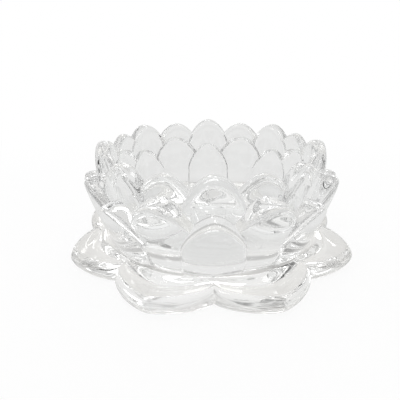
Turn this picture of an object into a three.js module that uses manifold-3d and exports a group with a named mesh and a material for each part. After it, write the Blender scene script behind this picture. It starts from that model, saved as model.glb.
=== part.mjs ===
// Lotus tealight holder in clear pressed glass: a bowl with a lobed rim, three tiers of
// eight petals cemented round it, and eight base petals that ring its foot.
// Millimetres, +Z up, origin at the centre of the foot, first lower petal towards -Y.
import * as THREE from 'three';
import { mergeVertices } from 'three/addons/utils/BufferGeometryUtils.js';
import Module from 'manifold-3d';

const wasm = await Module();
wasm.setup();

// Whole object
const PETALS_PER_TIER = 8;
const TIP_TO_TIP = 120; // across two opposite base petals
const CEMENT = 0.3; // cement line between neighbouring pieces

// Bowl
const FLOOR_RADIUS = 30; // flat that the tealight stands on
const FLOOR_HEIGHT = 8;
const MOUTH_RADIUS = 39.6;
const RIM_WALL = 4.4;
const RIM_HEIGHT = 44; // top of the rim lobes
const RIM_ARCH = 15; // how deep the rim is cut between two lobes
const RIM_LOBE_HALF_WIDTH = 12.5;
const RIM_ROUNDING = 5;
const FOOT_RADIUS = 36.3;
const KICK_RADIUS = 24; // shallow hollow under the foot
const KICK_DEPTH = 1;

// Upper petals stand in front of the cuts in the rim
const UPPER_HEIGHT = 45;
const UPPER_HALF_WIDTH = 11.3;
const UPPER_ARCH = 17;
const UPPER_PROUD = 2.7; // how far the face stands off the bowl
const UPPER_ROUNDING = 5;

// Middle petals stand in front of the rim lobes
const MIDDLE_HEIGHT = 36.7;
const MIDDLE_HALF_WIDTH = 13;
const MIDDLE_ARCH = 14.5;
const MIDDLE_BULGE = 7.8; // how far the widest part of the face stands off the bowl's rim
const MIDDLE_FOOT = 6; // how far the face stands off the bowl's foot at the seat
const MIDDLE_SHOULDER = 4.5; // rounding along the top of the petal

// Lower petals stand in front of the upper ones
const LOWER_HEIGHT = 32.5;
const LOWER_HALF_WIDTH = 12;
const LOWER_ARCH = 15.2;
const LOWER_BULGE = 6.4; // the same off the upper petals
const LOWER_FOOT = 4.8;
const LOWER_SHOULDER = 3.8;

// Base petals
const SEAT_HEIGHT = 8.7; // land that the three tiers stand on
const SEAT_RADIUS = 44.2;
const NOTCH_RADIUS = 48.4; // where two base petals meet
const EDGE_HEIGHT = 7.5; // top of a base petal's rounded edge
const EDGE_ROUNDING = 3.6; // how far the rounded edge reaches in from the rim
const EDGE_CREST = 1.2; // flat along the top of the edge, at the tip
const DISH_DEPTH = 1.6;
const TIP_LIFT = 1.4; // how far the tip's underside clears the table

// Shape of the curves
const SIDE_ROUNDING = 2;
const ARCH_POWER = 1.8; // 2 is an ellipse, less is more pointed
const LOWER_ARCH_POWER = 1.6;
const WALL_POWER = 2; // swell of the bowl's outer wall
const INNER_POWER = 3.2; // swell of its inner wall
const MIDDLE_POWER = 1.45; // swell of the petals' faces
const LOWER_POWER = 1.3;
const MIDDLE_CROWN = 0.35; // share of its depth that a face loses from its middle to its sides
const LOWER_CROWN = 0.35;
const LOBE_POWER = 1.34; // plan of a base petal's end
const TOP_POWER = 3; // rounding over a petal's top, 2 is a quarter circle and more is squarer
const RIM_POWER = 2.6; // rounding over the bowl's rim
const SIDE_POWER = 2; // rounding down a petal's sides

// Fineness of the facets
const BOWL_COLUMNS_PER_LOBE = 8;
const BOWL_INNER_ROWS = 4;
const BOWL_OUTER_ROWS = 4;
const FACE_ROWS = 4;
const FACE_COLUMN = 0.55; // place of the column between the middle and the side
const BASE_COLUMNS = 10;

const TIP_RADIUS = TIP_TO_TIP / 2;
const PITCH = (2 * Math.PI) / PETALS_PER_TIER;
const RIM_RADIUS = MOUTH_RADIUS + RIM_WALL;
const BACK_DEPTH = 2.5; // how far a blank runs into the pieces that are then cut from it
const ROUND_STEPS = [0, 0.09, 0.37, 1];
const EDGE_STEPS = [90, 60, 30, 0, -30, -60].map(THREE.MathUtils.degToRad);

const glass = (color, roughness) => new THREE.MeshStandardMaterial({
  color,
  roughness,
  metalness: 0,
  transparent: true,
  opacity: 0.35,
});

// Radius that swells quickly from its foot and ends upright at its top.
function swell(z, footZ, topZ, footR, topR, power) {
  const t = THREE.MathUtils.clamp((z - footZ) / (topZ - footZ), 0, 1);
  return topR - (topR - footR) * (1 - t) ** power;
}

const innerRadius = (z) => swell(z, FLOOR_HEIGHT, RIM_HEIGHT, FLOOR_RADIUS, MOUTH_RADIUS, INNER_POWER);
const wallRadius = (z) => swell(z, SEAT_HEIGHT, RIM_HEIGHT, FOOT_RADIUS, RIM_RADIUS, WALL_POWER);
const upperFace = (z) => wallRadius(z) + UPPER_PROUD;

// Face of a petal that stands off the bowl by one distance at the seat and another at its top.
function faceRadius(z, height, foot, bulge, power) {
  return swell(z, SEAT_HEIGHT, height, FOOT_RADIUS + foot, RIM_RADIUS + bulge, power);
}

const middleFace = (z) => faceRadius(z, MIDDLE_HEIGHT, MIDDLE_FOOT, MIDDLE_BULGE, MIDDLE_POWER);
const lowerFace = (z) => (
  faceRadius(z, LOWER_HEIGHT, UPPER_PROUD + LOWER_FOOT, UPPER_PROUD + LOWER_BULGE, LOWER_POWER)
);

// Rounded edge: 0 at the edge, 1 from one rounding inside it.
function edgeRound(distance, rounding, power) {
  const x = THREE.MathUtils.clamp(distance / rounding, 0, 1);
  return (1 - (1 - x) ** power) ** (1 / power);
}

// Height of an arch over a place across it, as a fraction of its rise.
function archRise(across, halfWidth, power) {
  const x = Math.min(Math.abs(across) / halfWidth, 1);
  return (1 - x ** power) ** (1 / power);
}

// Closed surface through rings of points; the first and the last ring are single points.
function ringSurface(rings) {
  const positions = [];
  const index = [];
  const starts = rings.map((ring) => {
    const start = positions.length / 3;
    ring.forEach((point) => positions.push(point.x, point.y, point.z));
    return start;
  });
  for (let r = 0; r + 1 < rings.length; r += 1) {
    const lower = rings[r];
    const upper = rings[r + 1];
    const count = Math.max(lower.length, upper.length);
    for (let i = 0; i < count; i += 1) {
      const next = (i + 1) % count;
      const a = starts[r] + (lower.length > 1 ? i : 0);
      const b = starts[r] + (lower.length > 1 ? next : 0);
      const c = starts[r + 1] + (upper.length > 1 ? next : 0);
      const d = starts[r + 1] + (upper.length > 1 ? i : 0);
      if (a !== b) index.push(a, b, c);
      if (c !== d) index.push(a, c, d);
    }
  }
  return bufferGeometry(positions, index);
}

// Closed slab between a front and a back grid of the same size, both as rows of points.
function slab(front, back) {
  const rows = front.length;
  const columns = front[0].length;
  const positions = [];
  const index = [];
  [front, back].forEach((grid) => grid.forEach((row) => row.forEach((point) => {
    positions.push(point.x, point.y, point.z);
  })));
  const at = (side, row, column) => (side * rows + row) * columns + column;
  const quad = (a, b, c, d) => index.push(a, b, c, a, c, d);
  for (let r = 0; r + 1 < rows; r += 1) {
    for (let c = 0; c + 1 < columns; c += 1) {
      quad(at(0, r, c), at(0, r, c + 1), at(0, r + 1, c + 1), at(0, r + 1, c));
      quad(at(1, r, c), at(1, r + 1, c), at(1, r + 1, c + 1), at(1, r, c + 1));
    }
    quad(at(0, r, 0), at(0, r + 1, 0), at(1, r + 1, 0), at(1, r, 0));
    quad(at(0, r + 1, columns - 1), at(0, r, columns - 1), at(1, r, columns - 1), at(1, r + 1, columns - 1));
  }
  for (let c = 0; c + 1 < columns; c += 1) {
    quad(at(0, 0, c + 1), at(0, 0, c), at(1, 0, c), at(1, 0, c + 1));
    quad(at(0, rows - 1, c), at(0, rows - 1, c + 1), at(1, rows - 1, c + 1), at(1, rows - 1, c));
  }
  return bufferGeometry(positions, index);
}

function bufferGeometry(positions, index) {
  const geometry = new THREE.BufferGeometry();
  geometry.setAttribute('position', new THREE.Float32BufferAttribute(positions, 3));
  geometry.setIndex(index);
  return geometry;
}

function solid(geometry) {
  const bare = geometry.clone();
  bare.deleteAttribute('normal');
  bare.deleteAttribute('uv');
  const merged = mergeVertices(bare, 1e-4);
  return new wasm.Manifold(new wasm.Mesh({
    numProp: 3,
    vertProperties: new Float32Array(merged.attributes.position.array),
    triVerts: new Uint32Array(merged.index.array),
  }));
}

function geometryOf(manifold) {
  const mesh = manifold.getMesh();
  const geometry = bufferGeometry(Array.from(mesh.vertProperties), Array.from(mesh.triVerts));
  geometry.computeVertexNormals();
  return geometry;
}

const turned = (geometry, angle) => geometry.clone().rotateZ(angle);

// A point of a petal whose middle runs along +X, at a radius, a place across and a height.
const petalPoint = (radius, across, z) => new THREE.Vector3(
  Math.sqrt(Math.max(radius ** 2 - across ** 2, 0)),
  across,
  z,
);

// Places across a petal, closer together over its rounded sides.
function petalColumns(halfWidth) {
  const face = halfWidth - SIDE_ROUNDING;
  const half = [halfWidth, halfWidth - SIDE_ROUNDING / 4, face, face * FACE_COLUMN];
  return [...half.map((across) => -across), 0, ...half.reverse()];
}

// Heights of one column of a petal: even rows up the face, then steps over the rounded top.
function petalHeights(footZ, topZ, rounding) {
  const roundStart = topZ - rounding;
  const heights = [];
  for (let i = 0; i < FACE_ROWS; i += 1) heights.push(footZ + ((roundStart - footZ) * i) / FACE_ROWS);
  return [...heights, ...[...ROUND_STEPS].reverse().map((step) => topZ - step * rounding)];
}

// A petal blank: an arched plate from a back radius out to a rounded face, grown all round by
// the cement line where it is the cutter for its neighbours.
function petalBlank({ height, halfWidth, arch, archPower, rounding, outer, inner, grow }) {
  const width = halfWidth + grow;
  const footZ = SEAT_HEIGHT + CEMENT - grow;
  const front = [];
  const back = [];
  petalColumns(width).forEach((across) => {
    const topZ = height + grow - arch * (1 - archRise(across, width, archPower));
    const heights = petalHeights(footZ, topZ, rounding);
    const side = width - Math.abs(across);
    const share = Math.abs(across) / width;
    front.push(heights.map((z) => petalPoint(outer(z, topZ - z, side, share) + grow, across, z)));
    back.push(heights.map((z) => petalPoint(inner(z, topZ - z), across, z)));
  });
  const rowsOf = (columns) => columns[0].map((_, row) => columns.map((column) => column[row]));
  return slab(rowsOf(front), rowsOf(back));
}

// Lower and middle petals: from the wall out, flat on top, round across, and rounded over the top
// and the sides.
function shoulderedPetal({ height, halfWidth, arch, archPower, shoulder, crown, face, core }, grow) {
  return petalBlank({
    height,
    halfWidth,
    arch,
    archPower,
    rounding: shoulder,
    grow,
    outer: (z, below, side, share) => {
      const swellOut = edgeRound(below, shoulder, TOP_POWER) * edgeRound(side, SIDE_ROUNDING, SIDE_POWER);
      return core(z) + (face(z) - core(z)) * swellOut * (1 - crown * share ** 2);
    },
    inner: (z) => wallRadius(z) - BACK_DEPTH,
  });
}

const LOWER = {
  height: LOWER_HEIGHT,
  halfWidth: LOWER_HALF_WIDTH,
  arch: LOWER_ARCH,
  archPower: LOWER_ARCH_POWER,
  shoulder: LOWER_SHOULDER,
  crown: LOWER_CROWN,
  face: lowerFace,
  core: upperFace,
};

const MIDDLE = {
  height: MIDDLE_HEIGHT,
  halfWidth: MIDDLE_HALF_WIDTH,
  arch: MIDDLE_ARCH,
  archPower: ARCH_POWER,
  shoulder: MIDDLE_SHOULDER,
  crown: MIDDLE_CROWN,
  face: middleFace,
  core: wallRadius,
};

// Upper petal: as thick as the rim and its own face together, rounded both ways along its top.
function upperPetal(grow) {
  const middle = (z) => (innerRadius(z) + upperFace(z)) / 2;
  const half = (z) => (upperFace(z) - innerRadius(z)) / 2;
  return petalBlank({
    height: UPPER_HEIGHT,
    halfWidth: UPPER_HALF_WIDTH,
    arch: UPPER_ARCH,
    archPower: ARCH_POWER,
    rounding: UPPER_ROUNDING,
    grow,
    outer: (z, below, side) => {
      const sunk = UPPER_PROUD * (1 - edgeRound(side, SIDE_ROUNDING, SIDE_POWER));
      return middle(z) + (half(z) - sunk) * edgeRound(below, UPPER_ROUNDING, TOP_POWER);
    },
    inner: (z, below) => middle(z) - half(z) * edgeRound(below, UPPER_ROUNDING, TOP_POWER),
  });
}

// Bowl: floor, swelling wall with a lobed rim, foot and hollow underside, as rings round Z.
// Grown, it is the cutter for the petals: solid inwards, with its wall one cement line out.
function bowlBlank(grow) {
  const columns = PETALS_PER_TIER * BOWL_COLUMNS_PER_LOBE;
  const angles = Array.from({ length: columns }, (_, i) => (i * 2 * Math.PI) / columns);
  const lobe = RIM_LOBE_HALF_WIDTH + grow;
  const rimTop = (angle) => {
    const turn = angle - PITCH / 2 - Math.round((angle - PITCH / 2) / PITCH) * PITCH;
    return RIM_HEIGHT + grow - RIM_ARCH * (1 - archRise(turn * RIM_RADIUS, lobe, ARCH_POWER));
  };
  const ring = (radius, height) => angles.map((angle) => {
    const z = height(rimTop(angle));
    const r = radius(z, rimTop(angle) - z);
    return new THREE.Vector3(r * Math.cos(angle), r * Math.sin(angle), z);
  });
  const level = (radius, z) => ring(() => radius, () => z);
  const axis = (z) => [new THREE.Vector3(0, 0, z)];
  const inward = grow > 0 ? BACK_DEPTH : 0;
  const middle = (z) => (innerRadius(z) + wallRadius(z)) / 2;
  const half = (z) => (wallRadius(z) - innerRadius(z)) / 2;
  const outside = (z, below) => middle(z) + half(z) * edgeRound(below, RIM_ROUNDING, RIM_POWER) + grow;
  const inside = (z, below) => middle(z) - half(z) * edgeRound(below, RIM_ROUNDING, RIM_POWER) - inward;
  const rows = (count, from) => Array.from({ length: count }, (_, i) => (top) => (
    from + ((top - RIM_ROUNDING - from) * i) / count
  ));
  const rounds = ROUND_STEPS.slice(1).map((step) => (top) => top - step * RIM_ROUNDING);
  const outerHeights = rows(BOWL_OUTER_ROWS, SEAT_HEIGHT);
  const innerHeights = rows(BOWL_INNER_ROWS, FLOOR_HEIGHT);
  return ringSurface([
    axis(KICK_DEPTH),
    level(KICK_RADIUS - KICK_DEPTH, KICK_DEPTH),
    level(KICK_RADIUS, 0),
    level(FOOT_RADIUS + grow, 0),
    ...outerHeights.map((height) => ring(outside, height)),
    ...[...rounds].reverse().map((height) => ring(outside, height)),
    ring((z) => middle(z) - inward / 2, (top) => top),
    ...rounds.map((height) => ring(inside, height)),
    ...[...innerHeights].reverse().map((height) => ring(inside, height)),
    axis(FLOOR_HEIGHT),
  ]);
}

// Base petal: a sector with a round end. Its top runs from the flat seat through a shallow dish
// to a rounded edge, and its underside lifts off the table towards the tip.
function basePetal() {
  const inner = FOOT_RADIUS + CEMENT;
  const lobeFoot = NOTCH_RADIUS * Math.cos(PITCH / 2);
  const lobeHalfWidth = NOTCH_RADIUS * Math.sin(PITCH / 2);
  const sectionAt = (edge) => {
    const reach = (edge - NOTCH_RADIUS) / (TIP_RADIUS - NOTCH_RADIUS);
    const lift = TIP_LIFT * reach;
    const half = (EDGE_HEIGHT - lift) / 2;
    const edgeR = edge - EDGE_ROUNDING;
    const crest = edgeR - EDGE_CREST * reach;
    const dish = [1 / 4, 1 / 2, 3 / 4].map((share) => [
      THREE.MathUtils.lerp(SEAT_RADIUS, crest, share),
      THREE.MathUtils.lerp(SEAT_HEIGHT, EDGE_HEIGHT, share) - DISH_DEPTH * reach * Math.sin(Math.PI * share),
    ]);
    const round = EDGE_STEPS.map((angle) => [
      edgeR + EDGE_ROUNDING * Math.cos(angle),
      lift + half + half * Math.sin(angle),
    ]);
    return [
      [inner, SEAT_HEIGHT],
      [SEAT_RADIUS, SEAT_HEIGHT],
      ...dish,
      [crest, EDGE_HEIGHT],
      ...round,
      [edgeR, lift],
      [SEAT_RADIUS, 0],
      [inner, 0],
    ];
  };
  const sections = Array.from({ length: BASE_COLUMNS + 1 }, (_, i) => {
    const across = lobeHalfWidth * Math.sin((Math.PI * i) / BASE_COLUMNS - Math.PI / 2);
    const along = lobeFoot + (TIP_RADIUS - lobeFoot) * archRise(across, lobeHalfWidth, LOBE_POWER);
    const turn = Math.atan2(across, along);
    const setBack = ((CEMENT / 2) * across) / lobeHalfWidth;
    return sectionAt(Math.hypot(across, along)).map(([r, z]) => new THREE.Vector3(
      r * Math.cos(turn) + setBack * Math.sin(turn),
      r * Math.sin(turn) - setBack * Math.cos(turn),
      z,
    ));
  });
  return closedSweep(sections);
}

// Closed body through equal sections side by side, with a flat face at each end.
function closedSweep(sections) {
  const count = sections[0].length;
  const positions = sections.flat().flatMap((point) => [point.x, point.y, point.z]);
  const index = [];
  for (let s = 0; s + 1 < sections.length; s += 1) {
    for (let i = 0; i < count; i += 1) {
      const a = s * count + i;
      const b = s * count + ((i + 1) % count);
      index.push(a, b, a + count, b, b + count, a + count);
    }
  }
  const flat = sections[0].map((point) => new THREE.Vector2(Math.hypot(point.x, point.y), point.z));
  const last = (sections.length - 1) * count;
  THREE.ShapeUtils.triangulateShape(flat, []).forEach((face) => {
    const turnsLeft = THREE.ShapeUtils.area(face.map((i) => flat[i])) > 0;
    const [a, b, c] = turnsLeft ? face : [...face].reverse();
    index.push(a, b, c, last + a, last + c, last + b);
  });
  return bufferGeometry(positions, index);
}

// Each piece is cut by the pieces that it is cemented to
const bowlCutter = solid(bowlBlank(CEMENT));
const upperCutter = upperPetal(CEMENT);
const lowerCutter = shoulderedPetal(LOWER, CEMENT);
const beside = [-PITCH / 2, PITCH / 2];

const upper = solid(upperPetal(0)).subtract(bowlCutter);

const lower = solid(shoulderedPetal(LOWER, 0)).subtract(bowlCutter).subtract(solid(upperCutter));

const middle = beside.reduce(
  (body, angle) => body.subtract(solid(turned(upperCutter, angle))).subtract(solid(turned(lowerCutter, angle))),
  solid(shoulderedPetal(MIDDLE, 0)).subtract(solid(turned(bowlBlank(CEMENT), PITCH / 2))),
);

const holder = new THREE.Group();
holder.name = 'lotus_tealight_holder';
const FRONT = -Math.PI / 2;

function addPiece(name, geometry, material, angle) {
  const mesh = new THREE.Mesh(geometry, material);
  mesh.name = name;
  mesh.rotation.z = angle;
  holder.add(mesh);
}

function addTier(name, geometry, color, firstAngle) {
  for (let i = 0; i < PETALS_PER_TIER; i += 1) {
    addPiece(`${name}_${i + 1}`, geometry, glass(color, 0.04), firstAngle + i * PITCH);
  }
}

addPiece('bowl', bowlBlank(0), glass('#e6eaea', 0.03), FRONT);
addTier('upper_petal', geometryOf(upper), '#e4e9e9', FRONT);
addTier('lower_petal', geometryOf(lower), '#e2e7e7', FRONT);
addTier('middle_petal', geometryOf(middle), '#e3e8e8', FRONT + PITCH / 2);
addTier('base_petal', basePetal(), '#dfe5e5', FRONT + PITCH / 2);

export default holder;
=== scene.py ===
"""Looks of a clear glass lotus tealight holder: its petals, their finish, the studio and the camera.

Every petal and the bowl are separate closed pieces. Each is drawn as a blank that runs a little
into its neighbours and is then cut back by their blanks, so the outer skins meet in clean creases.
The skins are glass, and the cut faces are clear cement, which can't be seen.
"""

from __future__ import annotations

import logging
import math
from dataclasses import dataclass
from enum import Enum

import bpy
import numpy as np
from mathutils import Matrix, Quaternion, Vector


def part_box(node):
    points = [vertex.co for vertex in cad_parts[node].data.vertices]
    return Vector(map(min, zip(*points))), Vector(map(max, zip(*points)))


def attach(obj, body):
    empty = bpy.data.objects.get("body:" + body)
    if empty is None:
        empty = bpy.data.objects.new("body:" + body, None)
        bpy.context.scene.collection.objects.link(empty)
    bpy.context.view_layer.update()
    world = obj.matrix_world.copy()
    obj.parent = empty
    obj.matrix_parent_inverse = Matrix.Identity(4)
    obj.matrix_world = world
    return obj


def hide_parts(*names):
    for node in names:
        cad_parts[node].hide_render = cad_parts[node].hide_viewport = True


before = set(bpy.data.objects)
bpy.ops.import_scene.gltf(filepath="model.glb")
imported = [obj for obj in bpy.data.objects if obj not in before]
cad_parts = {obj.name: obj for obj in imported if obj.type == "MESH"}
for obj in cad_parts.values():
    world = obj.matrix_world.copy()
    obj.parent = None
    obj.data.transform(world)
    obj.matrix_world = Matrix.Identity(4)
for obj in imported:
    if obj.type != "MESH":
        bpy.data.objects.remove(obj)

LOG = logging.getLogger("lotus")
Array = np.ndarray
Ends = tuple[float, float]  # where a value starts to change and where it is done
Place = tuple[float, float, float]
Colour = tuple[float, float, float]

BODY = "root"
BOWL = "bowl"
MM = 0.001
TAU = 2 * math.pi
PETALS = 8  # in each tier
PITCH = TAU / PETALS
FRONT = -math.pi / 2  # the first petal of a tier looks towards -Y
CEMENT_LINE = 0.3 * MM
MIN_THICKNESS = 0.05 * MM
WHITE = (1.0, 1.0, 1.0, 1.0)
GLASS_BOUNCES = 32
MIRROR_BOUNCES = 16
CEMENT_BOUNCES = 128  # a ray crosses many clear joints


class Tier(Enum):
    """Rings of petals, by the names of their pieces."""

    UPPER = "upper_petal"
    MIDDLE = "middle_petal"
    LOWER = "lower_petal"
    BASE = "base_petal"


class Cut(Enum):
    """What a cutter does, by the modifier's words."""

    JOIN = "UNION"
    TAKE_AWAY = "DIFFERENCE"


# Curves


def edge_round(distance: Array, rounding: float, power: float = 2.0) -> Array:
    """Rise of a rounded edge: 0 at the edge, 1 from one rounding inside it.

    Args:
        distance: How far inside the edge.
        rounding: Reach of the round.
        power: 2 gives a quarter circle, more a flatter top with a tighter edge.

    Returns:
        (1 - (1 - d / r) ** n) ** (1 / n) for each distance d.
    """
    share = np.clip(distance / rounding, 0, 1)
    return (1 - (1 - share) ** power) ** (1 / power)


def arch_rise(across: Array, half_width: float, power: float) -> Array:
    """Height of an arch as a share of its rise.

    Args:
        across: Places across the arch, 0 in its middle.
        half_width: Half of the arch's width.
        power: 2 gives an ellipse, less is more pointed.

    Returns:
        The superellipse (1 - |x| ** p) ** (1 / p).
    """
    share = np.minimum(np.abs(across) / half_width, 1)
    return (1 - share**power) ** (1 / power)


def eased_across(half_width: float, count: int) -> Array:
    """Places across a width, closer together at its two ends: w * sin of an even angle."""
    return half_width * np.sin(np.linspace(-math.pi / 2, math.pi / 2, count + 1))


@dataclass(frozen=True)
class Swell:
    """A radius that swells out from a foot and ends upright at a top."""

    foot_z: float
    top_z: float
    foot_r: float
    top_r: float
    power: float

    def at(self, z: Array) -> Array:
        """Radius at a height: top - (top - foot) * (1 - t) ** power, t the share of the height."""
        t = np.clip((z - self.foot_z) / (self.top_z - self.foot_z), 0, 1)
        return self.top_r - (self.top_r - self.foot_r) * (1 - t) ** self.power


# Meshes


@dataclass
class Shell:
    """Points and faces of a closed surface."""

    points: Array
    faces: list[list[int]]

    def turned(self, angle: float) -> Shell:
        """The same shell turned about Z.

        Args:
            angle: The turn.

        Returns:
            The turned shell.
        """
        c, s = math.cos(angle), math.sin(angle)
        spin = np.array([[c, s, 0.0], [-s, c, 0.0], [0.0, 0.0, 1.0]])
        return Shell(self.points @ spin, self.faces)

    def joined(self, others: list[Shell]) -> Shell:
        """This shell and others that don't touch it, as one.

        Args:
            others: The shells to add.

        Returns:
            One shell with all their points and faces.
        """
        points, faces, start = [], [], 0
        for shell in [self, *others]:
            points.append(shell.points)
            faces += [[i + start for i in face] for face in shell.faces]
            start += len(shell.points)
        return Shell(np.concatenate(points), faces)


def ring_quads(count: int, around: int) -> list[list[int]]:
    """Faces between closed rows of points: each with the next one round and the two of the next row.

    Args:
        count: How many rows.
        around: How many points in a row.

    Returns:
        The faces, for points numbered row by row.
    """
    start = (np.arange(count - 1) * around)[:, None]
    here = np.arange(around)[None, :]
    after = (here + 1) % around
    quads = np.stack([start + here, start + after, start + around + after, start + around + here], -1)
    return quads.reshape(-1, 4).tolist()


def swept_shell(sections: Array) -> Shell:
    """Closes a surface through equal closed sections that stand side by side.

    Args:
        sections: Points as (section, place round the section, xyz).

    Returns:
        The shell, with a flat face over the first and the last section.
    """
    count, around, _ = sections.shape
    caps = [list(range(around))[::-1], list(range((count - 1) * around, count * around))]
    return Shell(sections.reshape(-1, 3), ring_quads(count, around) + caps)


def revolved_shell(rings: Array, bottom: float, top: float) -> Shell:
    """Closes a surface through rings round Z with a point on the axis at each end.

    Args:
        rings: Points as (ring, place round the ring, xyz), from the underside to the floor.
        bottom: Height of the first point on the axis.
        top: Height of the last one.

    Returns:
        The shell.
    """
    count, around, _ = rings.shape
    first, last = count * around, count * around + 1
    here = np.arange(around)
    after = (here + 1) % around
    low = np.stack([np.full(around, first), after, here], -1)
    high = np.stack([np.full(around, last), here + first - around, after + first - around], -1)
    points = np.concatenate([rings.reshape(-1, 3), [[0, 0, bottom], [0, 0, top]]])
    return Shell(points, ring_quads(count, around) + low.tolist() + high.tolist())


# Petals


@dataclass(kw_only=True)
class Petal:
    """A petal whose middle runs along +X, arched at the top, drawn as upright sections."""

    tier: Tier
    height: float
    half_width: float
    arch: float
    rounding: float
    foot: float
    turn: float = 0.0
    edge_power: float = 3.0
    arch_power: float = 1.8
    columns: int = 64
    face_rows: int = 30
    round_rows: int = 20
    back_rows: int = 10
    back_round_rows: int = 4

    def front(self, z: Array, below: Array, side: Array, share: Array) -> Array:
        """Radius of the face.

        Args:
            z: Heights.
            below: Depths below the arch.
            side: Distances from the side.
            share: Shares of the half width, 0 in the middle.

        Returns:
            The radius at each of them.
        """
        raise NotImplementedError

    def back(self, z: Array, below: Array) -> Array:
        """Radius of the back at a height and a depth below the arch."""
        raise NotImplementedError

    def heights(self, foot: float, top: Array, rows: int, round_rows: int) -> Array:
        """Heights up a column: even up the face, then following the angle of the round.

        Args:
            foot: Height of the foot.
            top: Height of the arch at each column.
            rows: Steps up the face.
            round_rows: Steps over the round.

        Returns:
            Heights as (column, step), from the foot to the top.
        """
        spring = top - self.rounding
        rise = np.linspace(0, 1, rows, endpoint=False)[None, :]
        angle = np.linspace(math.pi / 2, 0, round_rows + 1)[None, :]
        face = foot + (spring - foot) * rise
        drop = 1 - np.maximum(np.cos(angle), 0) ** (2 / self.edge_power)
        return np.concatenate([face, top - self.rounding * drop], axis=1)

    def blank(self, inset: float = 0.0) -> Shell:
        """Closed blank of the petal.

        Each section lies at one place across: up the front from the foot, over the round and down
        the back. The arch over the sections is a superellipse.

        Args:
            inset: How far its skin is drawn in.

        Returns:
            The shell, turned to the petal's place in its tier.
        """
        width = self.half_width - inset
        across = eased_across(width, self.columns)[:, None]
        top = self.height - inset - self.arch * (1 - arch_rise(across, width, self.arch_power))
        up = self.heights(self.foot + inset, top, self.face_rows, self.round_rows)
        down = self.heights(self.foot + inset, top, self.back_rows, self.back_round_rows)[:, ::-1]
        back = self.back(down, top - down)
        front = self.front(up, top - up, width - np.abs(across), np.abs(across) / width) - inset
        front = np.maximum(front, self.back(up, top - up) + MIN_THICKNESS)
        radius = np.concatenate([front, back], axis=1)
        z = np.concatenate([up, down], axis=1)
        x = np.sqrt(np.maximum(radius**2 - across**2, 0))
        y = np.broadcast_to(across, x.shape)
        return swept_shell(np.stack([x, y, z], -1)[:, ::-1]).turned(self.turn)


@dataclass(kw_only=True)
class ShoulderedPetal(Petal):
    """A lower or middle petal: a swelling face, broadly rounded over its top and a little at its sides."""

    face: Swell
    core: Swell
    core_proud: float = 0.0
    crown: float = 0.35
    side_rounding: float = 2 * MM
    embed: float = 2.2 * MM

    def front(self, z: Array, below: Array, side: Array, share: Array) -> Array:
        """core + (face - core) * round over the top * round at the side * (1 - crown * share ** 2).

        Args:
            z: Heights.
            below: Depths below the arch.
            side: Distances from the side.
            share: Shares of the half width, 0 in the middle.

        Returns:
            The radius at each of them.
        """
        core = self.core.at(z) + self.core_proud
        swell = edge_round(below, self.rounding, self.edge_power) * edge_round(side, self.side_rounding)
        return core + (self.face.at(z) - core) * swell * (1 - self.crown * share**2)

    def back(self, z: Array, below: Array) -> Array:
        """A little inside the wall that the petal is cemented to."""
        return self.core.at(z) - self.embed


@dataclass(kw_only=True)
class RimPetal(Petal):
    """An upper petal: through the rim's thickness, half round along its top."""

    inner: Swell
    outer: Swell
    proud: float
    set_back: float = 0.03 * MM
    side_rounding: float = 2 * MM

    def middle(self, z: Array) -> Array:
        """Radius halfway through the petal."""
        return (self.inner.at(z) + self.set_back + self.outer.at(z) + self.proud) / 2

    def half(self, z: Array) -> Array:
        """Half of the petal's thickness."""
        return (self.outer.at(z) + self.proud - self.inner.at(z) - self.set_back) / 2

    def front(self, z: Array, below: Array, side: Array, share: Array) -> Array:
        """middle + (half - the drop at the sides) * round over the top."""
        sunk = self.proud * (1 - edge_round(side, self.side_rounding))
        return self.middle(z) + (self.half(z) - sunk) * edge_round(below, self.rounding, self.edge_power)

    def back(self, z: Array, below: Array) -> Array:
        """middle - half * round over the top."""
        return self.middle(z) - self.half(z) * edge_round(below, self.rounding, self.edge_power)


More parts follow.
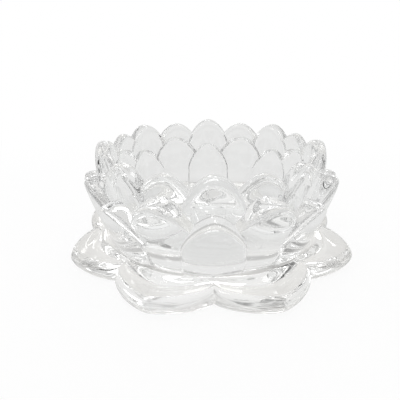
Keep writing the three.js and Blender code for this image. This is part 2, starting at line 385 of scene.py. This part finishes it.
@dataclass(kw_only=True)
class BasePetal:
    """A petal of the base: a dished sector with a rounded edge, lifted at its tip."""

    tier: Tier
    tip: float
    notch: float
    inner: float
    seat: float
    seat_height: float
    edge_height: float
    edge_rounding: float = 3.6 * MM
    crest: float = 1.2 * MM
    dish: float = 1.6 * MM
    lift: float = 0.6 * MM
    clear: float = 0.15 * MM
    overlap: float = 0.25 * MM
    lobe_power: float = 1.5
    turn: float = PITCH / 2
    columns: int = 88
    dish_rows: int = 24
    edge_rows: int = 26

    def blank(self, inset: float = 0.0) -> Shell:
        """Closed blank of the petal.

        The plan is a superellipse from the notches to the tip. Each section is upright and radial:
        along the seat, down a sine-shaped dish, over the crest, round the edge and back beneath.

        Args:
            inset: Not used, because no later piece is let into the base.

        Returns:
            The shell, turned to the petal's place in its ring.
        """
        width = self.notch * math.sin(PITCH / 2)
        root = self.notch * math.cos(PITCH / 2)
        across = eased_across(width, self.columns)
        along = root + (self.tip - root) * arch_rise(across, width, self.lobe_power)
        reach = np.hypot(across, along)[:, None]
        share = np.clip((reach - self.notch) / (self.tip - self.notch), 0, 1)
        lift = self.clear + self.lift * share
        half = (self.edge_height - lift) / 2
        round_r = reach - self.edge_rounding
        crest_r = round_r - self.crest * share
        t = np.linspace(0, 1, self.dish_rows + 1)[None, :]
        dish_r = self.seat + (crest_r - self.seat) * t
        dish_z = self.seat_height + (self.edge_height - self.seat_height) * t
        dish_z = dish_z - self.dish * share * np.sin(math.pi * t) ** 2
        angle = np.linspace(math.pi / 2, -math.pi / 2, self.edge_rows + 1)[None, :]
        edge_r = round_r + self.edge_rounding * np.cos(angle)
        edge_z = lift + half + half * np.sin(angle)
        ones = np.ones_like(reach)
        under_r = [self.seat * ones, self.inner * ones]
        under_z = [self.clear * ones, self.clear * ones]
        radius = np.concatenate([self.inner * ones, dish_r, edge_r, *under_r], 1)
        z = np.concatenate([self.seat_height * ones, dish_z, edge_z, *under_z], 1)
        turn = np.arctan2(across, along)[:, None]
        aside = self.overlap * (across / width)[:, None]
        x = radius * np.cos(turn) - aside * np.sin(turn)
        y = radius * np.sin(turn) + aside * np.cos(turn)
        return swept_shell(np.stack([x, y, z], -1)).turned(self.turn)


@dataclass
class Bowl:
    """The bowl: flat floor, swelling wall, lobed rim and hollow foot, as rings round Z."""

    inner: Swell
    outer: Swell
    rim_height: float
    rim_arch: float = 15 * MM
    lobe_half_width: float = 12.5 * MM
    rim_rounding: float = 5 * MM
    edge_power: float = 2.6
    arch_power: float = 1.8
    kick_radius: float = 24 * MM
    kick_depth: float = 1 * MM
    floor_fillet: float = 4 * MM
    fillet_lift: float = 0.125
    columns_per_lobe: int = 36
    wall_rows: int = 32
    rim_rows: int = 14
    floor_rows: int = 8

    def blank(self, inset: float = 0.0) -> Shell:
        """Closed blank of the bowl.

        From the underside: the hollow of the foot, up the outer wall, half round over the lobed
        rim, down the inner wall, round a fillet and in across the floor.

        Args:
            inset: How far its wall and rim are drawn in.

        Returns:
            The shell.
        """
        angle = np.arange(PETALS * self.columns_per_lobe) * TAU / (PETALS * self.columns_per_lobe)
        turn = (angle + PITCH / 2) % PITCH - PITCH / 2
        across = (PITCH / 2 - np.abs(turn)) * self.outer.top_r
        rise = arch_rise(across, self.lobe_half_width - inset, self.arch_power)
        top = (self.rim_height - inset - self.rim_arch * (1 - rise))[None, :]
        ones = np.ones_like(top)
        t = np.linspace(0, 1, self.wall_rows, endpoint=False)[:, None]
        arc = np.linspace(math.pi / 2, 0, self.rim_rows + 1)[:, None]
        spring = top - self.rim_rounding
        drop = self.rim_rounding * (1 - np.maximum(np.cos(arc), 0) ** (2 / self.edge_power))
        outer_z = np.concatenate([self.outer.foot_z + (spring - self.outer.foot_z) * t, top - drop])
        inner_z = np.concatenate([top - drop[::-1][1:], spring + (self.inner.foot_z - spring) * t[1:]])
        outer_swell = edge_round(top - outer_z, self.rim_rounding, self.edge_power)
        inner_swell = edge_round(top - inner_z, self.rim_rounding, self.edge_power)
        outer_r = self.middle(outer_z) + (self.half(outer_z) - inset) * outer_swell
        inner_r = self.middle(inner_z) - (self.half(inner_z) - inset) * inner_swell
        inner_z = self.filleted(inner_r, inner_z)
        kick_r = np.array([self.kick_radius - self.kick_depth, self.kick_radius])[:, None] * ones
        kick_z = np.array([self.kick_depth, 0.0])[:, None] * ones
        foot_r = (self.outer.foot_r - inset) * ones
        foot_z = np.zeros_like(foot_r)
        floor_r = np.linspace(self.inner.foot_r, 0, self.floor_rows, endpoint=False)[:, None] * ones
        floor_z = self.filleted(floor_r, np.full_like(floor_r, self.inner.foot_z))
        radius = np.concatenate([kick_r, foot_r, outer_r, inner_r, floor_r])
        z = np.concatenate([kick_z, foot_z, outer_z, inner_z, floor_z])
        rings = np.stack([radius * np.cos(angle), radius * np.sin(angle), z], -1)
        return revolved_shell(rings, self.kick_depth, self.inner.foot_z)

    def middle(self, z: Array) -> Array:
        """Radius halfway through the wall."""
        return (self.inner.at(z) + self.outer.at(z)) / 2

    def half(self, z: Array) -> Array:
        """Half of the wall's thickness."""
        return (self.outer.at(z) - self.inner.at(z)) / 2

    def filleted(self, radius: Array, z: Array) -> Array:
        """Lifts the corner of floor and wall by a smooth bump, (1 - d / f) ** 2 * f * lift.

        Args:
            radius: Radii of the inner surface.
            z: Their heights.

        Returns:
            The heights with the corner filled.
        """
        away = np.hypot(radius - self.inner.foot_r, z - self.inner.foot_z)
        return z + np.clip(1 - away / self.floor_fillet, 0, 1) ** 2 * self.floor_fillet * self.fillet_lift


# Shader nodes


class Wire:
    """An output socket whose operators add Math nodes."""

    def __init__(self, nodes: Nodes, socket: bpy.types.NodeSocket) -> None:
        """Keeps the socket and the tree that it is in."""
        self.nodes = nodes
        self.socket = socket

    def __add__(self, other: Wire | float) -> Wire:
        """Sum."""
        return self.nodes.maths("ADD", self, other)

    def __sub__(self, other: Wire | float) -> Wire:
        """Difference."""
        return self.nodes.maths("SUBTRACT", self, other)

    def __rsub__(self, other: float) -> Wire:
        """Difference from a number."""
        return self.nodes.maths("SUBTRACT", other, self)

    def __mul__(self, other: Wire | float) -> Wire:
        """Product."""
        return self.nodes.maths("MULTIPLY", self, other)

    __radd__ = __add__
    __rmul__ = __mul__


class Nodes:
    """A node tree that is filled node by node."""

    def __init__(self, tree: bpy.types.NodeTree) -> None:
        """Empties the tree."""
        self.tree = tree
        tree.nodes.clear()

    def add(self, kind: str, settings: dict, inputs: dict, output: str | int = 0) -> Wire | None:
        """Adds one node.

        Args:
            kind: The node's type.
            settings: Properties to set first.
            inputs: Socket name or number to a value or a Wire.
            output: The output to hand on.

        Returns:
            The chosen output, or None from a tree's last node, which has none.
        """
        node = self.tree.nodes.new(kind)
        for name, value in settings.items():
            setattr(node, name, value)
        for name, value in inputs.items():
            if isinstance(value, Wire):
                self.tree.links.new(value.socket, node.inputs[name])
            else:
                node.inputs[name].default_value = value
        return Wire(self, node.outputs[output]) if len(node.outputs) else None

    def maths(self, operation: str, a: Wire | float, b: Wire | float) -> Wire:
        """Adds a Math node."""
        return self.add("ShaderNodeMath", {"operation": operation}, {0: a, 1: b})

    def ramp(self, value: Wire, ends: list[tuple[float, float]]) -> Wire:
        """Maps a value smoothly between two (input, output) pairs.

        Args:
            value: The input.
            ends: The two pairs.

        Returns:
            The mapped value, held level beyond the ends.
        """
        (low, first), (high, last) = ends
        return self.add(
            "ShaderNodeMapRange",
            {"interpolation_type": "SMOOTHSTEP"},
            {"Value": value, "From Min": low, "From Max": high, "To Min": first, "To Max": last},
        )

    def rising(self, value: Wire, ends: Ends) -> Wire:
        """0 up to the first end and 1 from the second."""
        return self.ramp(value, [(ends[0], 0.0), (ends[1], 1.0)])

    def falling(self, value: Wire, ends: Ends) -> Wire:
        """1 up to the first end and 0 from the second."""
        return self.ramp(value, [(ends[0], 1.0), (ends[1], 0.0)])


# Finishes


@dataclass(frozen=True)
class GlassFinish:
    """Clear pressed glass with faint flow marks."""

    name: str
    tint: Colour
    deep_tint: Colour
    ior: float = 1.5
    haze: float = 0.012
    cloud_scale: float = 45.0
    cloud_detail: float = 2.0
    wave_scale: float = 60.0
    wave_detail: float = 1.0
    wave_roughness: float = 0.3
    wave_height: float = 0.02 * MM

    def material(self) -> bpy.types.Material:
        """Principled glass: a cloudy tint, a trace of haze, and slow waves in the surface.

        Returns:
            The material.
        """
        material = bpy.data.materials.new(self.name)
        material.use_nodes = True
        nodes = Nodes(material.node_tree)
        place = nodes.add("ShaderNodeTexCoord", {}, {}, "Object")
        cloud = nodes.add(
            "ShaderNodeTexNoise",
            {},
            {"Vector": place, "Scale": self.cloud_scale, "Detail": self.cloud_detail},
            "Fac",
        )
        tint = nodes.add(
            "ShaderNodeMix",
            {"data_type": "RGBA"},
            {"Factor": cloud, "A": (*self.tint, 1), "B": (*self.deep_tint, 1)},
            "Result",
        )
        waves = nodes.add(
            "ShaderNodeTexNoise",
            {},
            {
                "Vector": place,
                "Scale": self.wave_scale,
                "Detail": self.wave_detail,
                "Roughness": self.wave_roughness,
            },
            "Fac",
        )
        bump = nodes.add(
            "ShaderNodeBump",
            {},
            {"Strength": 1.0, "Distance": self.wave_height, "Height": waves},
        )
        glass = nodes.add(
            "ShaderNodeBsdfPrincipled",
            {},
            {
                "Base Color": tint,
                "Roughness": cloud * self.haze,
                "IOR": self.ior,
                "Transmission Weight": 1.0,
                "Normal": bump,
            },
        )
        nodes.add("ShaderNodeOutputMaterial", {}, {"Surface": glass})
        return material


@dataclass(frozen=True)
class CementFinish:
    """Clear cement that fills the joints: it has the index of the glass, so it can't be seen."""

    name: str = "clear_cement"

    def material(self) -> bpy.types.Material:
        """Principled with no opacity.

        Returns:
            The material.
        """
        material = bpy.data.materials.new(self.name)
        material.use_nodes = True
        nodes = Nodes(material.node_tree)
        clear = nodes.add("ShaderNodeBsdfPrincipled", {}, {"Alpha": 0.0, "Roughness": 1.0})
        nodes.add("ShaderNodeOutputMaterial", {}, {"Surface": clear})
        return material


# Assembly


@dataclass
class Lotus:
    """The whole holder: blanks, cuts and pieces."""

    bowl: Bowl
    petals: dict[str, Petal | BasePetal]  # by tier, each giving way to those before it
    finishes: dict[str, GlassFinish]
    slots: dict[str, str]
    sharp_angle: float = math.radians(38)

    def build(self) -> None:
        """Cuts the bowl and one petal of each tier by their neighbours, and places the copies."""
        cement = CementFinish().material()
        glass = {name: finish.material() for name, finish in self.finishes.items()}
        for name in [BOWL, *self.petals]:
            cutters = self.cutters(name, cement)
            mesh = self.cut(name, self.blank(name), cutters, [glass[name], cement])
            for cutter in cutters:
                bpy.data.objects.remove(cutter)
            if name == BOWL:
                self.place(name, mesh, FRONT)
                continue
            for i in range(PETALS):
                self.place(f"{name}_{i + 1}", mesh.copy(), FRONT + i * PITCH, name)

    def blank(self, name: str, inset: float = 0.0) -> Shell:
        """Blank of the bowl or of the first petal of a tier."""
        return (self.bowl if name == BOWL else self.petals[name]).blank(inset)

    def cutters(self, name: str, cement: bpy.types.Material) -> list[bpy.types.Object]:
        """What one piece is cut by: the pieces before it in the order, and a thin skin of those after it.

        A piece gives way to the earlier ones. Where a later one stands against it, it is let in
        by the cement line. The last tier's blanks overlap, so every other one is taken at a time.

        Args:
            name: The bowl or a tier.
            cement: The material that cut faces take.

        Returns:
            The cutters.
        """
        order = [BOWL, *self.petals]
        rank, last = order.index(name), order[-1]
        turns = list(range(PETALS)) if name == BOWL else [-1, 0, 1]
        before = [self.ring(other, turns, cement) for other in order[:rank]]
        if name == last:
            return [*before, self.ring(name, turns[0::2], cement)]
        after = [self.ring(last, turns[0::2], cement), self.ring(last, turns[1::2], cement)]
        after += [self.ring(other, turns, cement) for other in order[rank + 1:-1]]
        return [*before, self.let_in(after, name, cement)]

    def ring(self, name: str, turns: list[int], cement: bpy.types.Material) -> bpy.types.Object:
        """Blanks of a tier, or the bowl's, as one cutter.

        Args:
            name: The bowl or a tier.
            turns: Places in the tier to fill, counted from the first petal.
            cement: The cutter's material.

        Returns:
            The cutter.
        """
        shells = [self.blank(name).turned(i * PITCH) for i in turns]
        if name == BOWL:
            shells = [self.blank(name)]
        return self.piece(f"cutter_{name}", shells[0].joined(shells[1:]), [cement])

    def let_in(
        self, rings: list[bpy.types.Object], name: str, cement: bpy.types.Material
    ) -> bpy.types.Object:
        """Joins cutters and leaves only what reaches less than the cement line into a piece.

        Args:
            rings: The blanks of the later tiers.
            name: The piece that they are to be let into.
            cement: The cutters' material.

        Returns:
            The first of the rings, which now holds the result.
        """
        cutter = rings[0]
        core = self.piece(f"core_{name}", self.blank(name, CEMENT_LINE), [cement])
        for ring in rings[1:]:
            self.combine(cutter, ring, Cut.JOIN)
        self.combine(cutter, core, Cut.TAKE_AWAY)
        cutter.data = self.evaluated(cutter)
        cutter.modifiers.clear()
        for used in [*rings[1:], core]:
            bpy.data.objects.remove(used)
        return cutter

    @staticmethod
    def combine(target: bpy.types.Object, other: bpy.types.Object, cut: Cut) -> None:
        """Adds a Boolean modifier that keeps each face's material.

        Args:
            target: The object that changes.
            other: The object that cuts it or joins it.
            cut: Which of the two.
        """
        modifier = target.modifiers.new(other.name, "BOOLEAN")
        modifier.operation = cut.value
        modifier.solver = "MANIFOLD"
        modifier.material_mode = "TRANSFER"
        modifier.object = other

    @staticmethod
    def evaluated(target: bpy.types.Object) -> bpy.types.Mesh:
        """The mesh of an object with its modifiers applied."""
        graph = bpy.context.evaluated_depsgraph_get()
        return bpy.data.meshes.new_from_object(target.evaluated_get(graph))

    @staticmethod
    def piece(name: str, shell: Shell, materials: list[bpy.types.Material]) -> bpy.types.Object:
        """Makes an object of a shell.

        Args:
            name: Its name.
            shell: Its surface.
            materials: Its material slots.

        Returns:
            The object, linked to the scene.
        """
        mesh = bpy.data.meshes.new(name)
        mesh.from_pydata(shell.points, [], shell.faces)
        for material in materials:
            mesh.materials.append(material)
        mesh.update()
        made = bpy.data.objects.new(name, mesh)
        bpy.context.scene.collection.objects.link(made)
        return made

    def cut(
        self, name: str, shell: Shell, cutters: list[bpy.types.Object], materials: list[bpy.types.Material]
    ) -> bpy.types.Mesh:
        """Cuts a blank by its neighbours.

        Args:
            name: Name of the piece.
            shell: The blank.
            cutters: What to take away.
            materials: Materials of the skin and of the cut faces.

        Returns:
            The finished mesh.
        """
        blank = self.piece(f"blank_{name}", shell, materials)
        for cutter in cutters:
            self.combine(blank, cutter, Cut.TAKE_AWAY)
        mesh = self.evaluated(blank)
        bpy.data.objects.remove(blank)
        self.smooth(mesh)
        return mesh

    def smooth(self, mesh: bpy.types.Mesh) -> None:
        """Shades a mesh smooth, with sharp edges where the skin meets a cut face or turns a corner.

        Args:
            mesh: The mesh to shade.
        """
        faces = len(mesh.polygons)
        edge_of = np.empty(len(mesh.loops), np.int32)
        mesh.loops.foreach_get("edge_index", edge_of)
        sides = np.empty(faces, np.int32)
        mesh.polygons.foreach_get("loop_total", sides)
        face_of = np.repeat(np.arange(faces), sides)
        slot = np.empty(faces, np.int32)
        mesh.polygons.foreach_get("material_index", slot)
        normal = np.empty(faces * 3, np.float32)
        mesh.polygons.foreach_get("normal", normal)
        normal = normal.reshape(-1, 3)
        order = np.argsort(edge_of, kind="stable")
        start = np.searchsorted(edge_of[order], np.arange(len(mesh.edges)))
        first, second = face_of[order[start]], face_of[order[start + 1]]
        corner = np.einsum("ij,ij->i", normal[first], normal[second]) < math.cos(self.sharp_angle)
        sharp = corner | (slot[first] != slot[second])
        mesh.polygons.foreach_set("use_smooth", np.ones(faces, bool))
        attribute = mesh.attributes.new("sharp_edge", "BOOLEAN", "EDGE")
        attribute.data.foreach_set("value", sharp)
        mesh.update()

    def place(self, name: str, mesh: bpy.types.Mesh, angle: float, tier: str = BOWL) -> None:
        """Turns a finished mesh to its place and hands it to the frame.

        Args:
            name: The node that it stands for.
            mesh: Its mesh.
            angle: Turn about Z.
            tier: The bowl or its tier.
        """
        mesh.transform(Matrix.Rotation(angle, 4, "Z"))
        mesh.name = f"{name}_glass"
        made = bpy.data.objects.new(f"{name}_glass", mesh)
        bpy.context.scene.collection.objects.link(made)
        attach(made, BODY)
        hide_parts(name)
        LOG.info("%s: %d faces", made.name, len(mesh.polygons))


# Studio


def aimed(place: Place, aim: Place) -> Quaternion:
    """Turn of a lamp or a camera at a place that looks at an aim."""
    return (Vector(aim) - Vector(place)).to_track_quat("-Z", "Y")


@dataclass(frozen=True)
class Floor:
    """A large pale floor, with a faint real shadow and painted shade under the holder.

    It is white to the camera, with a faint shadow near the holder. The glass shows it pale grey, with
    painted shade that makes it a little darker under the bowl's hollow, round its foot and under the base
    petals.
    """

    half_width: float = 3.0
    drop: float = 0.1 * MM
    matte: Colour = (0.9, 0.9, 0.9)
    seen_through: Colour = (0.82, 0.819, 0.814)
    near_white: float = 0.93
    shadow_fade: Ends = (120 * MM, 240 * MM)
    hollow_fall: Ends = (20 * MM, 32 * MM)
    foot_rise: Ends = (36 * MM, 38 * MM)
    foot_fall: Ends = (40 * MM, 43 * MM)
    petal_rise: Ends = (46 * MM, 56 * MM)
    petal_fall: Ends = (65 * MM, 90 * MM)
    # strengths of the painted shade in the grey that the glass sees
    soft_shade: float = 0.11
    foot_shade: float = 0.33

    def build(self) -> None:
        """Makes the floor."""
        h, z = self.half_width, -self.drop
        mesh = bpy.data.meshes.new("floor")
        mesh.from_pydata([(-h, -h, z), (h, -h, z), (h, h, z), (-h, h, z)], [], [(0, 1, 2, 3)])
        mesh.materials.append(self.material())
        floor = bpy.data.objects.new("floor", mesh)
        bpy.context.scene.collection.objects.link(floor)

    def material(self) -> bpy.types.Material:
        """White for the camera over a matte that takes the shadow, and grey with painted shade through the
        glass.

        Returns:
            The material.
        """
        material = bpy.data.materials.new("floor_white")
        material.use_nodes = True
        nodes = Nodes(material.node_tree)
        camera = nodes.add("ShaderNodeLightPath", {}, {}, "Is Camera Ray")
        glossy = nodes.add("ShaderNodeLightPath", {}, {}, "Is Glossy Ray")
        through = nodes.add("ShaderNodeLightPath", {}, {}, "Is Transmission Ray")
        matte = nodes.add("ShaderNodeBsdfDiffuse", {}, {"Color": (*self.matte, 1)})
        white = nodes.add("ShaderNodeEmission", {}, {"Color": WHITE, "Strength": 1.0})
        grey = nodes.add("ShaderNodeEmission", {}, {"Color": (*self.seen_through, 1), "Strength": 1.0})
        place = nodes.add("ShaderNodeTexCoord", {}, {}, "Object")
        far = nodes.add("ShaderNodeVectorMath", {"operation": "LENGTH"}, {0: place}, "Value")
        near, away = self.shadow_fade
        plain = nodes.ramp(far, [(near, self.near_white), (away, 1.0)])
        shown = nodes.add("ShaderNodeMixShader", {}, {0: camera * plain, 1: matte, 2: white})
        # painted shade darkens the grey that the glass sees under the holder
        lit = 1 - self.shade(nodes, far)
        shaded = nodes.add("ShaderNodeMixShader", {}, {0: lit, 2: grey})  # the empty socket is black
        bent = nodes.maths("MAXIMUM", glossy, through)
        result = nodes.add("ShaderNodeMixShader", {}, {0: bent, 1: shown, 2: shaded})
        nodes.add("ShaderNodeOutputMaterial", {}, {"Surface": result})
        return material

    def shade(self, nodes: Nodes, far: Wire) -> Wire:
        """Painted shade: the share taken off the grey that the glass sees under the holder.

        Args:
            nodes: The tree to add to.
            far: Distance from the holder's axis.

        Returns:
            The sum of the painted shades under the hollow, round the foot and under the base petals.
        """
        hollow = nodes.falling(far, self.hollow_fall)
        foot = nodes.rising(far, self.foot_rise) * nodes.falling(far, self.foot_fall)
        petals = nodes.rising(far, self.petal_rise) * nodes.falling(far, self.petal_fall)
        return (hollow + petals) * self.soft_shade + foot * self.foot_shade


@dataclass(frozen=True)
class Room:
    """Surroundings: white to the camera and, for the glass, a pale room with dark stretches.

    A stretch lies between ends of the parts of a direction of length 1: across (X), ahead (Y) and
    up (Z). The room is dark low in front, brighter overhead, and has a dark gap at each side and a
    darker one low at each end. The gaps at the left are lighter.
    """

    level: float = 0.86
    front: Ends = (-0.4, 0.35)
    front_top: Ends = (0.2, 0.5)
    front_dark: float = 0.84
    ceiling: Ends = (0.5, 0.9)
    ceiling_gain: float = 0.08
    gap_rise: Ends = (0.48, 0.56)
    gap_fall: Ends = (0.7, 0.8)
    gap_top: Ends = (0.6, 0.85)
    gap_dark: float = 0.52
    side: Ends = (0.8, 0.92)
    side_top: Ends = (0.3, 0.55)
    side_dark: float = 0.7
    left: Ends = (-0.2, 0.2)
    left_lift: float = 0.4

    def build(self) -> None:
        """Makes the room the scene's world."""
        world = bpy.data.worlds.new("studio")
        world.use_nodes = True
        bpy.context.scene.world = world
        nodes = Nodes(world.node_tree)
        camera = nodes.add("ShaderNodeLightPath", {}, {}, "Is Camera Ray")
        level = self.brightness(nodes)
        grey = nodes.add("ShaderNodeCombineColor", {}, {"Red": level, "Green": level, "Blue": level})
        colour = nodes.add(
            "ShaderNodeMix",
            {"data_type": "RGBA"},
            {"Factor": camera, "A": grey, "B": WHITE},
            "Result",
        )
        back = nodes.add("ShaderNodeBackground", {}, {"Color": colour, "Strength": 1.0})
        nodes.add("ShaderNodeOutputWorld", {}, {"Surface": back})

    def brightness(self, nodes: Nodes) -> Wire:
        """Brightness of the room in each direction.

        Args:
            nodes: The tree to add to.

        Returns:
            The level, less the dark stretches and with the gain overhead.
        """
        way = nodes.add("ShaderNodeTexCoord", {}, {}, "Generated")
        across, ahead, up = [
            nodes.add("ShaderNodeSeparateXYZ", {}, {"Vector": way}, axis) for axis in "XYZ"
        ]
        aside = nodes.maths("ABSOLUTE", across, 0.0)
        front = nodes.falling(ahead, self.front)
        dark = front * nodes.falling(up, self.front_top)
        ceiling = nodes.rising(up, self.ceiling)
        gap = nodes.rising(aside, self.gap_rise) * nodes.falling(aside, self.gap_fall)
        gap = gap * nodes.falling(up, self.gap_top) * (1 - front)
        side = nodes.rising(aside, self.side) * nodes.falling(up, self.side_top) * (1 - dark)
        kept = 1 - nodes.falling(across, self.left) * self.left_lift
        level = self.level - dark * self.front_dark + ceiling * self.ceiling_gain
        return level - gap * kept * self.gap_dark - side * kept * self.side_dark


@dataclass(frozen=True)
class Window:
    """An oblong lamp that faces the holder."""

    name: str
    place: Place
    width: float
    height: float
    power: float  # in watts
    aim: Place = (0.0, 0.0, 20 * MM)

    def build(self) -> None:
        """Hangs the lamp in its place."""
        light = bpy.data.lights.new(self.name, "AREA")
        light.shape = "RECTANGLE"
        light.size = self.width
        light.size_y = self.height
        light.energy = self.power
        lamp = bpy.data.objects.new(self.name, light)
        lamp.location = self.place
        lamp.rotation_euler = aimed(self.place, self.aim).to_euler()
        bpy.context.scene.collection.objects.link(lamp)


@dataclass(frozen=True)
class Studio:
    """White floor, pale room and small windows: one high behind, one at each side and one low behind."""

    floor: Floor = Floor()
    room: Room = Room()
    windows: tuple[Window, ...] = (
        Window("ceiling_window", place=(0.05, 0.38, 0.48), width=0.16, height=0.16, power=0.28),
        Window("left_window", place=(-0.3, -0.1, 0.5), width=0.12, height=0.2, power=0.25),
        Window("right_window", place=(0.32, 0.05, 0.5), width=0.12, height=0.16, power=0.2),
        Window("back_window", place=(-0.1, 0.52, 0.28), width=0.07, height=0.16, power=0.09),
    )

    def build(self) -> None:
        """Makes the floor, the room and the windows."""
        for part in [self.floor, self.room, *self.windows]:
            part.build()


@dataclass(frozen=True)
class PhotoCamera:
    """The camera at the photograph's place."""

    place: Place = (-0.00482, -0.1624, 0.08573)
    aim: Place = (-0.0044, 0.0, 0.01889)
    roll: float = math.radians(-0.25)
    lens: float = 36.74
    sensor: float = 36.0
    nearest: float = 5 * MM

    def build(self) -> None:
        """Makes the camera and gives it to the scene."""
        data = bpy.data.cameras.new("photo_camera")
        data.lens = self.lens
        data.sensor_width = self.sensor
        data.sensor_fit = "HORIZONTAL"
        data.clip_start = self.nearest
        camera = bpy.data.objects.new("photo_camera", data)
        turn = aimed(self.place, self.aim).to_matrix().to_4x4()
        camera.matrix_world = Matrix.Translation(self.place) @ turn @ Matrix.Rotation(self.roll, 4, "Z")
        bpy.context.scene.collection.objects.link(camera)
        bpy.context.scene.camera = camera


# The holder's sizes


def lotus() -> Lotus:
    """Sizes of the holder, in metres, with the heights taken from the frame.

    The feet of the tiers end at different depths in the base, so that no two faces coincide.

    Returns:
        The holder, ready to build.
    """
    seat = 8.7 * MM
    proud = 2.7 * MM  # the upper petals in front of the wall
    rim_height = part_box("bowl")[1].z
    upper_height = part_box("upper_petal_1")[1].z
    lower_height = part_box("lower_petal_1")[1].z
    middle_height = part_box("middle_petal_1")[1].z
    inner = Swell(foot_z=8 * MM, top_z=rim_height, foot_r=30 * MM, top_r=39.6 * MM, power=3.2)
    wall = Swell(foot_z=seat, top_z=rim_height, foot_r=36.3 * MM, top_r=44 * MM, power=2.0)
    upper = RimPetal(
        tier=Tier.UPPER, height=upper_height, half_width=11.3 * MM, arch=17 * MM, rounding=5 * MM,
        foot=seat - 0.45 * MM, inner=inner, outer=wall, proud=proud, back_rows=30, back_round_rows=20,
    )
    lower = ShoulderedPetal(
        tier=Tier.LOWER, height=lower_height, half_width=12 * MM, arch=15.2 * MM, rounding=3.8 * MM,
        foot=seat - 0.4 * MM, arch_power=1.6, core=wall, core_proud=proud, embed=3.2 * MM, back_rows=12,
        face=Swell(foot_z=seat, top_z=lower_height, foot_r=43.8 * MM, top_r=53.1 * MM, power=1.3),
    )
    middle = ShoulderedPetal(
        tier=Tier.MIDDLE, height=middle_height, half_width=13 * MM, arch=14.5 * MM, rounding=4.5 * MM,
        foot=seat - 0.35 * MM, turn=PITCH / 2, edge_power=2.6, core=wall,
        face=Swell(foot_z=seat, top_z=middle_height, foot_r=42.3 * MM, top_r=51.8 * MM, power=1.45),
    )
    base = BasePetal(
        tier=Tier.BASE, tip=59.6 * MM, notch=49.4 * MM, inner=35 * MM, seat=44.2 * MM, seat_height=seat,
        edge_height=7.5 * MM,
    )
    clear = (0.985, 0.99, 0.99)
    deep = (0.98, 0.983, 0.98)
    warm = (0.99, 0.972, 0.935)
    clouds = {BOWL: deep, **{tier.value: deep for tier in Tier}, Tier.BASE.value: warm}
    return Lotus(
        Bowl(inner, wall, rim_height),
        {petal.tier.value: petal for petal in [upper, lower, middle, base]},
        {name: GlassFinish(f"{name}_clear_glass", clear, cloud) for name, cloud in clouds.items()},
        {
            BOWL: "bowl_glass",
            Tier.UPPER.value: "petal_glass",
            Tier.MIDDLE.value: "petal_glass",
            Tier.LOWER.value: "petal_glass",
            Tier.BASE.value: "base_glass",
        },
    )


def main() -> None:
    """Builds the holder, the studio and the camera."""
    logging.basicConfig(level=logging.INFO, format="%(message)s")
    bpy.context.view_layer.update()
    scene = bpy.context.scene
    scene.view_settings.view_transform = "Standard"
    scene.cycles.max_bounces = GLASS_BOUNCES
    scene.cycles.transmission_bounces = GLASS_BOUNCES
    scene.cycles.glossy_bounces = MIRROR_BOUNCES
    scene.cycles.transparent_max_bounces = CEMENT_BOUNCES
    PhotoCamera().build()
    lotus().build()
    Studio().build()


if __name__ == "__main__":
    main()
